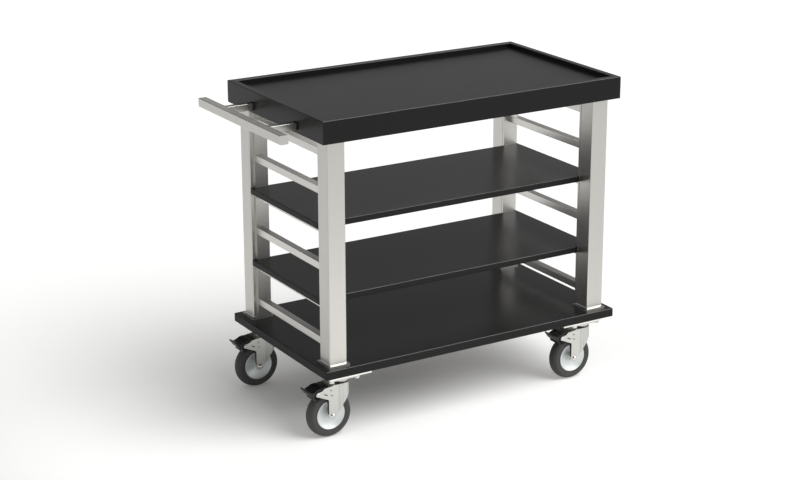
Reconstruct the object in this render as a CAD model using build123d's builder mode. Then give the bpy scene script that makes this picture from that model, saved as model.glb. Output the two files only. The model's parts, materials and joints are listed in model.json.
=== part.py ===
from build123d import *
import os

# Serving trolley: a framed tray on four square posts, two ladders of rungs that
# carry drop-on shelves, a thick base board and four braked swivel castors.
# Millimetres, +Z up. The floor is Z = 0 and the origin lies under the middle of
# the whole trolley, push handle included. The handle is on the -X side.

# Tray, a mitred frame of boards round a sunk panel
tray_length = 900.0
tray_width = 512.0
tray_height = 59.0
tray_rim = 18.5
tray_recess = 10.0
tray_panel_thickness = 15.0
tray_groove = 6.5
tray_tongue = 9.0
board_edge = 1.0

# Frame: posts, foot plates, top plates
frame_height = 591.0
post_size = 50.0
post_wall = 2.0
post_corner = 2.5
post_inset = 22.5
foot_overhang = 6.5
foot_thickness = 4.5
top_plate_thickness = 4.0

# Ladders: flat stiles on the posts' inner faces, square rungs between them
stile_width = 38.0
stile_thickness = 6.5
rung_size = 20.0
rung_wall = 1.5
rung_corner = 1.5
rung_count = 6
first_rung_rise = 58.6
last_rung_drop = 31.5

# Shelves that drop over the rungs, and the base board
shelf_thickness = 16.5
shelf_groove = 5.5
shelf_clearance = 0.5
lower_shelf_rung_number = 2
upper_shelf_rung_number = 4
base_thickness = 23.0

# Push handle
handle_reach = 100.5
handle_bar_size = 23.0
handle_bar_length = 448.0
handle_bar_wall = 2.0
handle_corner = 1.5
handle_cap_thickness = 2.0
handle_arm_size = 18.5
handle_arm_spacing = 232.5
handle_rise = 19.0
backing_plate_length = 286.0
backing_plate_height = 26.0
backing_plate_thickness = 5.0

# Castor plates and pads
castor_trail = 35.0
castor_inset_x = 46.5
castor_inset_y = 33.0
castor_plate_length = 88.5
castor_plate_width = 64.5
castor_plate_thickness = 3.0
castor_plate_corner = 5.5
castor_bolt_spacing_x = 74.0
castor_bolt_spacing_y = 50.0
race_height = 13.0
race_diameter = 46.0
race_bore = 24.0
pad_length = 124.5
pad_width = 101.5
pad_height = 14.0
pad_corner = 2.0

# Wheels: a crowned tyre on a domed centre
wheel_diameter = 125.0
tyre_width = 32.0
tyre_crown = 11.0
tyre_bead_width = 28.5
rim_diameter = 80.0
rim_lip = 2.3
rim_lip_width = 31.5
dome_edge_width = 27.0
dome_middle_width = 33.0
dome_hub_width = 35.0
hub_diameter = 18.0

# Forks, with heights and reaches from the axle
fork_width = 50.0
fork_wall = 2.5
fork_rise = 83.0
crown_thickness = 3.0
crown_setback = 4.0
crown_flange_rise = 65.5
fork_leg_front = 10.7
fork_leg_back = 7.9
fork_leg_rise = 45.8
fork_boss_drop = 10.3
fork_nose_reach = 41.5
fork_nose_rise = 65.5
fork_nose_radius = 5.7
fork_neck = (-30.0, 73.4)
fork_shoulder = (-23.0, 79.2)
fork_top = (13.0, 83.0)
fork_front_rise = 67.5
fork_corner = 3.0
leg_flange_low = 6.5
leg_flange_low_depth = 2.9
leg_flange_top_depth = 5.4
cheek_rivets = [(-4.1, 70.6), (-2.3, 56.8)]
cheek_rivet_diameter = 6.4
cheek_rivet_height = 1.1
cheek_bead = (-19.8, 61.8)
cheek_bead_length = 14.0
cheek_bead_width = 6.0
cheek_bead_line = 1.3
cheek_bead_angle = -24.0

# Brake pedals: the tread and the rest of the side outline, from the hinge
pedal_clearance = 1.0
pedal_round = 0.8
pedal_tread = [(18.5, 14.5), (11.9, 15.4), (2.5, 13.8), (-2.0, 11.2), (-14.1, 6.0)]
pedal_underside = [(-25.6, 12.2), (-27.4, 10.0), (-16.8, -4.9), (-15.2, -6.4), (-11.8, -6.4), (-8.4, -13.6),
                   (-8.8, -16.6), (-6.7, -18.2), (-3.7, -14.6), (-10.2, -4.8), (-9.0, -3.0), (-1.5, -8.0),
                   (18.5, 4.0)]
pedal_window = [(-14.0, -7.6), (-9.6, -14.0), (-4.0, -11.8), (-6.6, -6.6)]
pedal_window_side = 6.5
pedal_rib_count = 7
pedal_rib_pitch = 5.6
pedal_rib_width = 1.8
pedal_rib_height = 0.8
hinge_pin_diameter = 5.5
hinge_pin_head = 8.4
hinge_pin_head_height = 1.8

# Fasteners
axle_diameter = 10.0
axle_head = 14.0
axle_head_height = 4.5
axle_nut = 16.0
axle_nut_height = 6.0
kingpin_diameter = 12.0
kingpin_head = 20.0
kingpin_head_height = 4.0
castor_bolt_diameter = 8.0
castor_bolt_head = 12.0
castor_bolt_head_height = 5.3
castor_bolt_grip = 13.0
post_bolt_diameter = 10.0
post_bolt_head = 17.0
post_bolt_head_height = 6.4
post_bolt_recess = 21.0
handle_bolt_diameter = 8.0
handle_bolt_head = 13.0
handle_bolt_head_height = 5.3
handle_bolt_grip = 16.0
tray_screw_diameter = 5.0
tray_screw_head = 9.5
tray_screw_head_height = 2.8
tray_screw_grip = 10.0
tray_screw_spacing = 26.0

# Clearances, each on the radius or on one side
running_clearance = 0.08
fixed_clearance = 0.05
panel_clearance = 0.25
moving_gap = 0.3

# Heights of the stack, from the floor up
axle_height = wheel_diameter / 2
crown_top = axle_height + fork_rise
castor_plate_bottom = crown_top + race_height
pad_bottom = castor_plate_bottom + castor_plate_thickness
base_bottom = pad_bottom + pad_height
base_top = base_bottom + base_thickness
tray_bottom = base_top + frame_height
tray_top = tray_bottom + tray_height
panel_top = tray_top - tray_recess
panel_bottom = panel_top - tray_panel_thickness
post_bottom = base_top + foot_thickness
post_top = panel_bottom - top_plate_thickness
post_length = post_top - post_bottom

# Places in plan, from the middle of the tray
tray_x = handle_reach / 2
post_outer_x = tray_length / 2 - post_inset
post_outer_y = tray_width / 2 - post_inset
post_x = post_outer_x - post_size / 2
post_y = post_outer_y - post_size / 2
post_inner_x = post_outer_x - post_size
post_inner_y = post_outer_y - post_size
stile_x = post_inner_x + stile_width / 2
stile_y = post_inner_y - stile_thickness / 2
rung_length = 2 * (post_inner_y - stile_thickness)
rung_pitch = (frame_height - first_rung_rise - last_rung_drop) / (rung_count - 1)
castor_x = post_outer_x - castor_inset_x
castor_y = post_outer_y - castor_inset_y
panel_length = tray_length - 2 * (tray_rim - tray_groove)
panel_width = tray_width - 2 * (tray_rim - tray_groove)
handle_z = tray_bottom + handle_rise
handle_bar_x = tray_x - tray_length / 2 - handle_reach + handle_bar_size / 2

sides = {"left": -1, "right": 1}
ends = {"front": -1, "rear": 1}
post_places = [(tray_x + sx * post_x, sy * post_y) for sx in (-1, 1) for sy in (-1, 1)]
castor_places = [(tray_x + sx * castor_x, sy * castor_y) for sx in (-1, 1) for sy in (-1, 1)]

os.makedirs("parts", exist_ok=True)


def keep(piece, name):
    """Label a finished piece and write it as one STEP file."""
    piece.part.label = name
    export_step(piece.part, f"parts/{name}.step")


def hexagon(across_flats):
    """A bolt head's outline, drawn by its size across the flats."""
    RegularPolygon(across_flats / 2, 6, major_radius=False)


# Tray: four mitred boards with a groove that holds the panel
def tray_board(corners):
    """One side of the tray, drawn in plan by its mitred corners."""
    with BuildPart() as board:
        with BuildSketch(Plane.XY.offset(tray_bottom)):
            with Locations((tray_x, 0)):
                Polygon(*corners, align=None)
        extrude(amount=tray_height)
        outer = board.edges().filter_by(Axis.Z, reverse=True)
        rim_edges = outer.group_by(Axis.Z)[-1] + outer.group_by(Axis.Z)[0]
        long_edges = [e for e in rim_edges if abs(e.tangent_at(0).X) > 0.99 or abs(e.tangent_at(0).Y) > 0.99]
        chamfer(long_edges, board_edge)
        with Locations((tray_x, 0, panel_bottom)):
            Box(panel_length, panel_width, tray_tongue,
                align=(Align.CENTER, Align.CENTER, Align.MIN), mode=Mode.SUBTRACT)
    return board


half_length = tray_length / 2
half_width = tray_width / 2
inner_length = half_length - tray_rim
inner_width = half_width - tray_rim

for end, sy in ends.items():
    corners = [(-half_length, sy * half_width), (half_length, sy * half_width),
               (inner_length, sy * inner_width), (-inner_length, sy * inner_width)]
    keep(tray_board(corners), f"tray_{end}_apron")

keep(tray_board([(half_length, -half_width), (half_length, half_width),
                 (inner_length, inner_width), (inner_length, -inner_width)]), "tray_right_apron")

left_board = tray_board([(-half_length, -half_width), (-half_length, half_width),
                         (-inner_length, inner_width), (-inner_length, -inner_width)])
with BuildPart() as tray_left_apron:
    add(left_board.part)
    with BuildSketch(Plane.YZ.offset(tray_x - half_length)):
        with Locations((0, handle_z)):
            with GridLocations(handle_arm_spacing, 1, 2, 1):
                Circle(handle_bolt_diameter / 2 + fixed_clearance)
    extrude(amount=tray_rim, mode=Mode.SUBTRACT)
keep(tray_left_apron, "tray_left_apron")

with BuildPart() as tray_panel:
    with BuildSketch(Plane.XY.offset(panel_bottom)):
        with Locations((tray_x, 0)):
            Rectangle(panel_length, panel_width)
    extrude(amount=tray_tongue)
    with BuildSketch(Plane.XY.offset(panel_bottom)):
        with Locations((tray_x, 0)):
            Rectangle(2 * (inner_length - panel_clearance), 2 * (inner_width - panel_clearance))
    extrude(amount=tray_panel_thickness)
    with BuildSketch(Plane.XY.offset(panel_bottom)):
        with Locations(*post_places):
            with GridLocations(tray_screw_spacing, tray_screw_spacing, 2, 2):
                Circle(tray_screw_diameter / 2 + fixed_clearance)
    extrude(amount=tray_screw_grip, mode=Mode.SUBTRACT)
keep(tray_panel, "tray_panel")


# Base board, bored for the post bolts and the castor bolts
with BuildPart() as base_board:
    with BuildSketch(Plane.XY.offset(base_bottom)):
        with Locations((tray_x, 0)):
            Rectangle(tray_length, tray_width)
    extrude(amount=base_thickness)
    chamfer(base_board.edges(), board_edge)
    with Locations(*[(x, y, base_bottom) for x, y in post_places]):
        Cylinder(post_bolt_diameter / 2 + fixed_clearance, base_thickness,
                 align=(Align.CENTER, Align.CENTER, Align.MIN), mode=Mode.SUBTRACT)
        Cylinder(post_bolt_recess / 2, post_bolt_head_height,
                 align=(Align.CENTER, Align.CENTER, Align.MIN), mode=Mode.SUBTRACT)
    with BuildSketch(Plane.XY.offset(base_bottom)):
        with Locations(*castor_places):
            with GridLocations(castor_bolt_spacing_x, castor_bolt_spacing_y, 2, 2):
                Circle(castor_bolt_diameter / 2 + fixed_clearance)
    extrude(amount=castor_bolt_grip, mode=Mode.SUBTRACT)
keep(base_board, "base_board")


# Posts: square tubes between a foot plate and a top plate
def square_post(x, y):
    with BuildPart() as post:
        with BuildSketch(Plane.XY.offset(post_bottom)):
            with Locations((x, y)):
                RectangleRounded(post_size, post_size, post_corner)
                Rectangle(post_size - 2 * post_wall, post_size - 2 * post_wall, mode=Mode.SUBTRACT)
        extrude(amount=post_length)
    return post


for end, sy in ends.items():
    for side, sx in sides.items():
        keep(square_post(tray_x + sx * post_x, sy * post_y), f"{end}_{side}_post")

with BuildPart() as post_foot_plates:
    with BuildSketch(Plane.XY.offset(base_top)):
        with Locations(*post_places):
            RectangleRounded(post_size + 2 * foot_overhang, post_size + 2 * foot_overhang, post_corner)
            Circle(post_bolt_diameter / 2 + fixed_clearance, mode=Mode.SUBTRACT)
    extrude(amount=foot_thickness)
keep(post_foot_plates, "post_foot_plates")

with BuildPart() as post_top_plates:
    with BuildSketch(Plane.XY.offset(post_top)):
        with Locations(*post_places):
            RectangleRounded(post_size, post_size, post_corner)
            with GridLocations(tray_screw_spacing, tray_screw_spacing, 2, 2):
                Circle(tray_screw_diameter / 2 + fixed_clearance, mode=Mode.SUBTRACT)
    extrude(amount=top_plate_thickness)
keep(post_top_plates, "post_top_plates")


# Ladders: a flat stile on each post and six rungs on each side, in line with the posts
with BuildPart() as ladder_stiles:
    with BuildSketch(Plane.XY.offset(post_bottom)):
        with Locations((tray_x, 0)):
            with GridLocations(2 * stile_x, 2 * stile_y, 2, 2):
                Rectangle(stile_width, stile_thickness)
    extrude(amount=post_length)
keep(ladder_stiles, "ladder_stiles")


def rung_top(number):
    """Height of a rung's upper face. The lowest rung is number 1."""
    return base_top + first_rung_rise + (number - 1) * rung_pitch


def square_rung(x, top):
    with BuildPart() as rung:
        with BuildSketch(Plane.XZ.offset(-rung_length / 2)):
            with Locations((x, top - rung_size / 2)):
                RectangleRounded(rung_size, rung_size, rung_corner)
                Rectangle(rung_size - 2 * rung_wall, rung_size - 2 * rung_wall, mode=Mode.SUBTRACT)
        extrude(amount=rung_length)
    return rung


for side, sx in sides.items():
    for number in range(1, rung_count + 1):
        keep(square_rung(tray_x + sx * post_x, rung_top(number)), f"{side}_rung_{number}")


# Shelves: boards notched round the stiles and grooved to drop over two rungs
def drop_on_shelf(rung_number):
    bottom = rung_top(rung_number) - shelf_groove
    depth = 2 * (post_inner_y - shelf_clearance)
    notch = 2 * (stile_thickness + shelf_clearance)
    with BuildPart() as shelf:
        with BuildSketch(Plane.XY.offset(bottom)):
            with Locations((tray_x, 0)):
                Rectangle(2 * post_outer_x, depth)
        extrude(amount=shelf_thickness)
        chamfer(shelf.edges(), board_edge)
        with BuildSketch(Plane.XY.offset(bottom)):
            with Locations((tray_x, 0)):
                with GridLocations(2 * stile_x, 2 * post_inner_y, 2, 2):
                    Rectangle(stile_width + 2 * shelf_clearance, notch)
        extrude(amount=shelf_thickness, mode=Mode.SUBTRACT)
        with BuildSketch(Plane.XY.offset(bottom)):
            with Locations((tray_x, 0)):
                with GridLocations(2 * post_x, 1, 2, 1):
                    Rectangle(rung_size + 2 * shelf_clearance, depth)
        extrude(amount=shelf_groove, mode=Mode.SUBTRACT)
    return shelf


keep(drop_on_shelf(lower_shelf_rung_number), "lower_shelf")
keep(drop_on_shelf(upper_shelf_rung_number), "upper_shelf")


# Push handle: a square tube on two square arms, bolted through the left apron
bar_tube_length = handle_bar_length - 2 * handle_cap_thickness

with BuildPart() as handle_bar:
    with BuildSketch(Plane.XZ.offset(-bar_tube_length / 2)):
        with Locations((handle_bar_x, handle_z)):
            RectangleRounded(handle_bar_size, handle_bar_size, handle_corner)
            Rectangle(handle_bar_size - 2 * handle_bar_wall, handle_bar_size - 2 * handle_bar_wall,
                      mode=Mode.SUBTRACT)
    extrude(amount=bar_tube_length)
keep(handle_bar, "handle_bar")

with BuildPart() as handle_end_caps:
    for sy in ends.values():
        with BuildSketch(Plane.XZ.offset(-sy * bar_tube_length / 2)):
            with Locations((handle_bar_x, handle_z)):
                RectangleRounded(handle_bar_size, handle_bar_size, handle_corner)
        extrude(amount=-sy * handle_cap_thickness)
keep(handle_end_caps, "handle_end_caps")

arm_start = handle_bar_x + handle_bar_size / 2
apron_outer_x = tray_x - half_length
apron_inner_x = apron_outer_x + tray_rim

with BuildPart() as handle_arms:
    with BuildSketch(Plane.YZ.offset(arm_start)):
        with Locations((0, handle_z)):
            with GridLocations(handle_arm_spacing, 1, 2, 1):
                RectangleRounded(handle_arm_size, handle_arm_size, handle_corner)
    extrude(amount=apron_outer_x - arm_start)
    with BuildSketch(Plane.YZ.offset(apron_outer_x)):
        with Locations((0, handle_z)):
            with GridLocations(handle_arm_spacing, 1, 2, 1):
                Circle(handle_bolt_diameter / 2 + fixed_clearance)
    extrude(amount=-handle_bolt_grip, mode=Mode.SUBTRACT)
keep(handle_arms, "handle_arms")

with BuildPart() as handle_backing_plate:
    with BuildSketch(Plane.YZ.offset(apron_inner_x)):
        with Locations((0, handle_z)):
            RectangleRounded(backing_plate_length, backing_plate_height, handle_corner)
            with GridLocations(handle_arm_spacing, 1, 2, 1):
                Circle(handle_bolt_diameter / 2 + fixed_clearance, mode=Mode.SUBTRACT)
    extrude(amount=backing_plate_thickness)
keep(handle_backing_plate, "handle_backing_plate")


# Castor plates with the upper ball race, on pads under the base board
with BuildPart() as castor_pads:
    with BuildSketch(Plane.XY.offset(pad_bottom)):
        with Locations((tray_x, 0)):
            with GridLocations(2 * post_outer_x - pad_length, 2 * post_outer_y - pad_width, 2, 2):
                RectangleRounded(pad_length, pad_width, pad_corner)
        with Locations(*castor_places):
            with GridLocations(castor_bolt_spacing_x, castor_bolt_spacing_y, 2, 2):
                Circle(castor_bolt_diameter / 2 + fixed_clearance, mode=Mode.SUBTRACT)
    extrude(amount=pad_height)
keep(castor_pads, "castor_pads")


def castor_plate(x, y):
    race_low = crown_top + moving_gap
    race_inner = race_bore / 2
    race_outer = race_diameter / 2
    race_round = (race_outer - race_inner) / 2
    with BuildPart() as plate:
        with BuildSketch(Plane.XY.offset(castor_plate_bottom)):
            with Locations((x, y)):
                RectangleRounded(castor_plate_length, castor_plate_width, castor_plate_corner)
                Circle(kingpin_diameter / 2 + fixed_clearance, mode=Mode.SUBTRACT)
                with GridLocations(castor_bolt_spacing_x, castor_bolt_spacing_y, 2, 2):
                    Circle(castor_bolt_diameter / 2 + fixed_clearance, mode=Mode.SUBTRACT)
        extrude(amount=castor_plate_thickness)
        with BuildSketch(Plane.XZ.offset(-y)):
            with BuildLine():
                Polyline((x + race_inner, race_low), (x + race_inner, castor_plate_bottom),
                         (x + race_outer, castor_plate_bottom), (x + race_outer, race_low + race_round))
                Line((x + race_inner, race_low), (x + race_outer - race_round, race_low))
                RadiusArc((x + race_outer - race_round, race_low),
                          (x + race_outer, race_low + race_round), -race_round)
            make_face()
        revolve(axis=Axis((x, y, 0), (0, 0, 1)))
    return plate


# Forks: a U of sheet steel round the swivel axis, cut to a nosed side outline
def fork_plan(x, y, radius, back):
    """A round front on the swivel axis and straight sides that run back to -X."""
    with Locations((x, y)):
        Circle(radius)
    with Locations((x - back / 2, y)):
        Rectangle(back, 2 * radius)


def from_axle(x, places):
    """Places on the cheek of the castor at x, given by reach and rise from its axle."""
    return [(x - castor_trail + dx, axle_height + dz) for dx, dz in places]


def castor_fork(x, y):
    axle_x = x - castor_trail
    outer = fork_width / 2
    inner = outer - fork_wall
    leg_bottom = axle_height - fork_boss_drop
    reach = castor_trail + fork_nose_reach + fork_nose_radius
    front_x = x + outer + fork_wall
    leg_end = axle_height - fork_boss_drop / 2
    leg_front = (axle_x - fork_leg_front, leg_end)
    leg_back = (axle_x + fork_leg_back, leg_end)
    leg_middle = axle_x + (fork_leg_back - fork_leg_front) / 2
    flange_low = axle_height + leg_flange_low
    flange_top = axle_height + fork_leg_rise - fork_wall
    nose = Vector(axle_x - fork_nose_reach, axle_height + fork_nose_rise)
    nose_low = nose - Vector(0, fork_nose_radius)
    nose_high = nose + Vector(0, fork_nose_radius)
    with BuildPart() as fork:
        with BuildSketch(Plane.XY.offset(leg_bottom)):
            fork_plan(x, y, outer, reach)
        extrude(amount=crown_top - leg_bottom)
        with BuildSketch(Plane.XY.offset(leg_bottom)):
            fork_plan(x, y, inner, reach)
        extrude(amount=crown_top - leg_bottom, mode=Mode.SUBTRACT)
        with BuildSketch(Plane.XZ.offset(-y - fork_width)) as outline:
            with BuildLine():
                Polyline(nose_high, *from_axle(x, [fork_neck, fork_shoulder, fork_top]),
                         (front_x, crown_top), (front_x, axle_height + fork_front_rise), leg_back)
                ThreePointArc(leg_back, (leg_middle, leg_bottom), leg_front)
                Polyline(leg_front, (axle_x - fork_leg_front, axle_height + fork_leg_rise), nose_low)
                ThreePointArc(nose_low, nose - Vector(fork_nose_radius, 0), nose_high)
            make_face()
            bends = [v for v in outline.vertices() if nose.X < v.X < axle_x and v.Y > axle_height]
            fillet([v for v in bends if v.X > nose.X + fork_nose_radius], fork_corner)
        extrude(amount=2 * fork_width, mode=Mode.INTERSECT)
        # The crown ends behind the pedal in a wall that is turned down between the cheeks
        with BuildSketch(Plane.XY.offset(crown_top - crown_thickness)):
            fork_plan(x, y, inner, castor_trail - crown_setback)
            with Locations((x, y)):
                Circle(kingpin_diameter / 2 + running_clearance, mode=Mode.SUBTRACT)
        extrude(amount=crown_thickness)
        with BuildSketch(Plane.XY.offset(axle_height + crown_flange_rise)):
            with Locations((axle_x + crown_setback + fork_wall / 2, y)):
                Rectangle(fork_wall, 2 * inner)
        extrude(amount=fork_rise - crown_flange_rise)
        # Each leg's front edge is turned in towards the wheel
        for sy in ends.values():
            with BuildSketch(Plane.YZ.offset(axle_x - fork_leg_front)):
                with BuildLine():
                    Polyline((y + sy * inner, flange_low), (y + sy * inner, flange_top),
                             (y + sy * (inner - leg_flange_top_depth), flange_top),
                             (y + sy * (inner - leg_flange_low_depth), flange_low), close=True)
                make_face()
            extrude(amount=fork_wall)
            with BuildSketch(Plane.XZ.offset(-y - sy * outer)):
                with Locations(*from_axle(x, cheek_rivets)):
                    Circle(cheek_rivet_diameter / 2)
                with Locations(*from_axle(x, [cheek_bead])):
                    SlotOverall(cheek_bead_length, cheek_bead_width, rotation=cheek_bead_angle)
                    SlotOverall(cheek_bead_length - 2 * cheek_bead_line,
                                cheek_bead_width - 2 * cheek_bead_line,
                                rotation=cheek_bead_angle, mode=Mode.SUBTRACT)
            extrude(amount=-sy * cheek_rivet_height)
        with BuildSketch(Plane.XZ.offset(-y - fork_width)):
            with Locations((axle_x, axle_height)):
                Circle(axle_diameter / 2 + fixed_clearance)
            with Locations((axle_x - fork_nose_reach, axle_height + fork_nose_rise)):
                Circle(hinge_pin_diameter / 2 + fixed_clearance)
        extrude(amount=2 * fork_width, mode=Mode.SUBTRACT)
    return fork


def pivot_plane(x, y, z):
    """An upright plane across the castor through one of its pivots, drawn from the castor's middle."""
    return Plane(origin=(x, y, z), x_dir=(0, 1, 0), z_dir=(1, 0, 0))


def pivot_axis(x, y, z):
    return Axis((x, y, z), (0, 1, 0))


def cap_radius(width, height):
    """Radius of the ball that a domed head of this width and height is cut from."""
    return ((width / 2) ** 2 + height ** 2) / (2 * height)


# Axles: a domed bolt with its nut across each fork, and the riveted pin of its pedal
def castor_axle(x, y):
    half = fork_width / 2
    axle = (x - castor_trail, y, axle_height)
    hinge = (x - castor_trail - fork_nose_reach, y, axle_height + fork_nose_rise)
    pin_cap = cap_radius(hinge_pin_head, hinge_pin_head_height)
    with BuildPart() as pins:
        with BuildSketch(pivot_plane(*axle)):
            with BuildLine():
                Polyline((-half - axle_head_height, 0), (half + axle_nut_height, 0),
                         (half + axle_nut_height, axle_diameter / 2), (-half, axle_diameter / 2),
                         (-half, axle_head / 2))
                RadiusArc((-half, axle_head / 2), (-half - axle_head_height, 0),
                          -cap_radius(axle_head, axle_head_height))
            make_face()
        revolve(axis=pivot_axis(*axle))
        with BuildSketch(Plane.XZ.offset(-y - half)):
            with Locations((axle[0], axle_height)):
                hexagon(axle_nut)
                Circle(axle_diameter / 2 + fixed_clearance, mode=Mode.SUBTRACT)
        extrude(amount=-axle_nut_height)
        with BuildSketch(pivot_plane(*hinge)):
            with BuildLine():
                Polyline((-half - hinge_pin_head_height, 0), (half + hinge_pin_head_height, 0))
                RadiusArc((half + hinge_pin_head_height, 0), (half, hinge_pin_head / 2), -pin_cap)
                Polyline((half, hinge_pin_head / 2), (half, hinge_pin_diameter / 2),
                         (-half, hinge_pin_diameter / 2), (-half, hinge_pin_head / 2))
                RadiusArc((-half, hinge_pin_head / 2), (-half - hinge_pin_head_height, 0), -pin_cap)
            make_face()
        revolve(axis=pivot_axis(*hinge))
    return pins


# Wheels: a domed plastic centre that turns on the axle, and a crowned rubber tyre
def castor_rim(x, y):
    axle = (x - castor_trail, y, axle_height)
    bore = axle_diameter / 2 + running_clearance
    hub_half = fork_width / 2 - fork_wall - moving_gap
    lip = rim_diameter / 2 - rim_lip
    dome_middle = (hub_diameter / 2 + lip) / 2
    with BuildPart() as rim:
        with BuildSketch(pivot_plane(*axle)):
            with BuildLine():
                for sy in ends.values():
                    Polyline((0, rim_diameter / 2), (sy * rim_lip_width / 2, rim_diameter / 2),
                             (sy * rim_lip_width / 2, lip), (sy * dome_edge_width / 2, lip))
                    ThreePointArc((sy * dome_edge_width / 2, lip), (sy * dome_middle_width / 2, dome_middle),
                                  (sy * dome_hub_width / 2, hub_diameter / 2))
                    Polyline((sy * dome_hub_width / 2, hub_diameter / 2), (sy * hub_half, hub_diameter / 2),
                             (sy * hub_half, bore), (0, bore))
            make_face()
        revolve(axis=pivot_axis(*axle))
    return rim


def castor_tyre(x, y):
    axle = (x - castor_trail, y, axle_height)
    bead = rim_diameter / 2 + fixed_clearance
    shoulder = wheel_diameter / 2 - tyre_crown
    with BuildPart() as tyre:
        with BuildSketch(pivot_plane(*axle)):
            with BuildLine():
                Polyline((-tyre_width / 2, shoulder), (-tyre_bead_width / 2, bead),
                         (tyre_bead_width / 2, bead), (tyre_width / 2, shoulder))
                EllipticalCenterArc((0, shoulder), tyre_width / 2, tyre_crown, arc_size=180)
            make_face()
        revolve(axis=pivot_axis(*axle))
    return tyre


# Brake pedals: a ribbed tread with a toe lip and an open lower tab, hung on a pin in the fork's nose
def castor_pedal(x, y):
    hinge_x = x - castor_trail - fork_nose_reach
    hinge_z = axle_height + fork_nose_rise
    half = fork_width / 2 - fork_wall - pedal_clearance
    rib_start = y + ((pedal_rib_count - 1) * pedal_rib_pitch + pedal_rib_width) / 2
    rib_planes = [Plane.XZ.offset(k * pedal_rib_pitch - rib_start) for k in range(pedal_rib_count)]
    rib_upper = [(dx, dz + pedal_rib_height) for dx, dz in pedal_tread]
    rib_lower = [(dx, dz - pedal_rib_height) for dx, dz in pedal_tread]

    def from_hinge(places):
        return [(hinge_x + dx, hinge_z + dz) for dx, dz in places]

    with BuildPart() as pedal:
        with BuildSketch(Plane.XZ.offset(-y - half)):
            with BuildLine():
                Polyline(*from_hinge(pedal_tread + pedal_underside), close=True)
            make_face()
        extrude(amount=2 * half)
        fillet(pedal.edges().filter_by(Axis.Y), pedal_round)
        with BuildSketch(*rib_planes):
            with BuildLine():
                Polyline(*from_hinge(rib_upper[:-1] + rib_lower[-2::-1]), close=True)
            make_face()
        extrude(amount=pedal_rib_width)
        with BuildSketch(Plane.XZ.offset(-y - half)):
            with Locations((hinge_x, hinge_z)):
                Circle(hinge_pin_diameter / 2 + running_clearance)
        extrude(amount=2 * half, mode=Mode.SUBTRACT)
        with BuildSketch(Plane.XZ.offset(pedal_window_side - y - half)):
            with BuildLine():
                Polyline(*from_hinge(pedal_window), close=True)
            make_face()
        extrude(amount=2 * (half - pedal_window_side), mode=Mode.SUBTRACT)
    return pedal


for end, sy in ends.items():
    for side, sx in sides.items():
        place = (tray_x + sx * castor_x, sy * castor_y)
        keep(castor_plate(*place), f"{end}_{side}_castor_plate")
        keep(castor_fork(*place), f"{end}_{side}_castor_fork")
        keep(castor_axle(*place), f"{end}_{side}_castor_axle")
        keep(castor_rim(*place), f"{end}_{side}_castor_rim")
        keep(castor_tyre(*place), f"{end}_{side}_castor_tyre")
        keep(castor_pedal(*place), f"{end}_{side}_castor_pedal")


# Fasteners that repeat
with BuildPart() as castor_kingpins:
    with BuildSketch(Plane.XY.offset(pad_bottom)):
        with Locations(*castor_places):
            Circle(kingpin_diameter / 2)
    extrude(amount=-(castor_plate_thickness + race_height + crown_thickness + moving_gap))
    with BuildSketch(Plane.XY.offset(crown_top - crown_thickness - moving_gap)):
        with Locations(*castor_places):
            Circle(kingpin_head / 2)
    extrude(amount=-kingpin_head_height)
keep(castor_kingpins, "castor_kingpins")

with BuildPart() as castor_bolts:
    with BuildSketch(Plane.XY.offset(castor_plate_bottom)):
        with Locations(*castor_places):
            with GridLocations(castor_bolt_spacing_x, castor_bolt_spacing_y, 2, 2):
                hexagon(castor_bolt_head)
    extrude(amount=-castor_bolt_head_height)
    with BuildSketch(Plane.XY.offset(castor_plate_bottom)):
        with Locations(*castor_places):
            with GridLocations(castor_bolt_spacing_x, castor_bolt_spacing_y, 2, 2):
                Circle(castor_bolt_diameter / 2)
    extrude(amount=castor_plate_thickness + pad_height + castor_bolt_grip)
keep(castor_bolts, "castor_bolts")

with BuildPart() as frame_bolts:
    with BuildSketch(Plane.XY.offset(base_bottom)):
        with Locations(*post_places):
            hexagon(post_bolt_head)
    extrude(amount=post_bolt_head_height)
    with BuildSketch(Plane.XY.offset(base_bottom)):
        with Locations(*post_places):
            Circle(post_bolt_diameter / 2)
    extrude(amount=base_thickness + foot_thickness)
    with BuildSketch(Plane.YZ.offset(apron_inner_x + backing_plate_thickness)):
        with Locations((0, handle_z)):
            with GridLocations(handle_arm_spacing, 1, 2, 1):
                hexagon(handle_bolt_head)
    extrude(amount=handle_bolt_head_height)
    with BuildSketch(Plane.YZ.offset(apron_inner_x + backing_plate_thickness)):
        with Locations((0, handle_z)):
            with GridLocations(handle_arm_spacing, 1, 2, 1):
                Circle(handle_bolt_diameter / 2)
    extrude(amount=-(backing_plate_thickness + tray_rim + handle_bolt_grip))
keep(frame_bolts, "frame_bolts")

with BuildPart() as tray_screws:
    with BuildSketch(Plane.XY.offset(post_top)):
        with Locations(*post_places):
            with GridLocations(tray_screw_spacing, tray_screw_spacing, 2, 2):
                Circle(tray_screw_head / 2)
    extrude(amount=-tray_screw_head_height)
    with BuildSketch(Plane.XY.offset(post_top)):
        with Locations(*post_places):
            with GridLocations(tray_screw_spacing, tray_screw_spacing, 2, 2):
                Circle(tray_screw_diameter / 2)
    extrude(amount=top_plate_thickness + tray_screw_grip)
keep(tray_screws, "tray_screws")
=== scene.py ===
# %% [markdown]
# # A serving trolley in charcoal board and brushed steel
#
# This lesson dresses a finished CAD model of a serving trolley: a sunk tray on four square posts, two
# shelves on ladder rungs, a thick base board and four braked castors. The shapes come from the CAD frame
# and stay where they are. What we add is the camera, the light, the finishes, and a few surfaces that are
# easier to describe with formulas than with solids. All lengths are metres.

# %% Load the CAD frame
import bmesh
import bpy
import json
import math
import numpy as np
from mathutils import Matrix, Vector


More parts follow.
